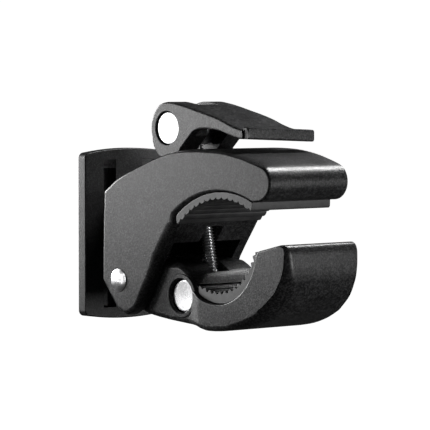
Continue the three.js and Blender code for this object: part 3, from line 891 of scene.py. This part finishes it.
def opening_spring():
    coil_r, wire_r, turns, span = 5.4, 0.75, 5, 4.9
    path = [(34.2 + (HINGE_X - 34.2) * t, -span, HINGE_Z - coil_r) for t in np.linspace(0, 1, 6)[:-1]]
    for t in np.linspace(0, 1, 150):
        turn = 2 * math.pi * (t * (turns + 0.25) - 0.25)
        path.append((HINGE_X - coil_r * math.cos(turn), span * (2 * t - 1),
                     HINGE_Z + coil_r * math.sin(turn)))
    path += [(HINGE_X - coil_r, span, HINGE_Z + (-7.1 - HINGE_Z) * t) for t in np.linspace(0, 1, 8)[1:]]
    spring = swept("opening_spring_wound", path, wire_r)
    return dress(spring, "upper_jaw", "spring_steel", STEEL, "opening_spring", sharp=60)


# ---- stage ----------------------------------------------------------------------------------------

def stage_material(name):
    """An even white that glows, so that it stays plain."""
    made = bpy.data.materials.new(name)
    made.use_nodes = True
    shader = made.node_tree.nodes["Principled BSDF"]
    shader.inputs["Base Color"].default_value = (0.9, 0.9, 0.9, 1)
    shader.inputs["Roughness"].default_value = 0.9
    shader.inputs["Emission Color"].default_value = (1, 1, 1, 1)
    shader.inputs["Emission Strength"].default_value = 1.0
    return made


def only_for_the_eye(obj):
    """The white surround doesn't light the object; the softboxes do."""
    obj.visible_diffuse = False
    obj.visible_glossy = False
    obj.visible_transmission = False
    obj.visible_shadow = False
    return obj


def surround():
    """A pale floor a little below the object, inside a white dome."""
    low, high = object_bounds()
    middle = (low + high) / 2
    size = 4.0
    mesh = bpy.data.meshes.new("floor")
    z = low.z - 0.12
    corners = [(-size, -size, z), (size, -size, z), (size, size, z), (-size, size, z)]
    mesh.from_pydata(corners, [], [(0, 1, 2, 3)])
    floor = bpy.data.objects.new("floor", mesh)
    bpy.context.scene.collection.objects.link(floor)
    mesh.materials.append(stage_material("floor_pale"))
    only_for_the_eye(floor)
    made = bmesh.new()
    bmesh.ops.create_icosphere(made, subdivisions=4, radius=size * 0.95)
    mesh = bpy.data.meshes.new("backdrop")
    made.to_mesh(mesh)
    made.free()
    dome = bpy.data.objects.new("backdrop", mesh)
    dome.location = middle
    bpy.context.scene.collection.objects.link(dome)
    mesh.materials.append(stage_material("backdrop_white"))
    only_for_the_eye(dome)


def softbox(name, direction, distance, width, height, power):
    """A rectangular light that faces the object's middle."""
    middle = (cad_low + cad_high) / 2
    light = bpy.data.lights.new(name, "AREA")
    light.shape = "RECTANGLE"
    light.size = width
    light.size_y = height
    light.energy = power
    obj = bpy.data.objects.new(name, light)
    way = Vector(direction).normalized()
    obj.location = middle + way * distance
    obj.rotation_mode = "QUATERNION"
    obj.rotation_quaternion = way.to_track_quat("Z", "Y")
    obj.visible_camera = False
    bpy.context.scene.collection.objects.link(obj)
    return obj


def lighting():
    world = bpy.data.worlds.new("studio")
    world.use_nodes = True
    shade = world.node_tree.nodes["Background"]
    shade.inputs["Color"].default_value = (1, 1, 1, 1)
    shade.inputs["Strength"].default_value = 0.03
    bpy.context.scene.world = world
    softbox("key", (-0.94, -0.3, 0.16), 0.9, 0.3, 0.3, 9)
    softbox("near_fill", (-0.7, -0.71, 0.06), 0.38, 0.12, 0.12, 0.26)
    softbox("near_strip", (-0.31, -0.95, 0.02), 0.5, 0.03, 0.2, 0.18)
    softbox("nose_rim", (0.21, 0.585, 0.784), 0.19, 0.03, 0.1, 0.34)
    softbox("front_fill", (0.9, 0.42, -0.06), 1.0, 0.3, 0.4, 3.6)


def camera():
    """The long lens that the object is seen through, a little above its middle."""
    data = bpy.data.cameras.new("camera")
    data.sensor_width = 36
    data.lens = 232.7
    obj = bpy.data.objects.new("camera", data)
    target = Vector((84.4, -22.0, 11.2)) * MM
    turn, rise, distance = math.radians(47.5), math.radians(2.7), 1.14
    way = Vector((math.sin(turn) * math.cos(rise), -math.cos(turn) * math.cos(rise), math.sin(rise)))
    obj.location = target + way * distance
    obj.rotation_mode = "QUATERNION"
    obj.rotation_quaternion = way.to_track_quat("Z", "Y")
    bpy.context.scene.collection.objects.link(obj)
    bpy.context.scene.camera = obj


# ---- everything -----------------------------------------------------------------------------------

camera()
mounting_plate()
upper_jaw_body()
upper_pad()
lower_pad()
lower_jaw()
threaded_rod()
hinge_pin()
barrels()
cam_lever()
opening_spring()

CARRIED = {
    "plate_screw_top": STEEL, "plate_screw_bottom": STEEL, "plate_dowel_upper": STEEL,
    "plate_dowel_lower": STEEL, "hinge_washer": ZINC, "hinge_bush_near": NYLON, "hinge_bush_far": NYLON,
    "rod_set_screw": STEEL, "rod_stop_ring": STEEL,
}
for node_name, material in CARRIED.items():
    node = frame["nodes"][node_name]
    node.data.materials.clear()
    node.data.materials.append(material)

bpy.context.scene.view_settings.view_transform = "Standard"
surround()
lighting()
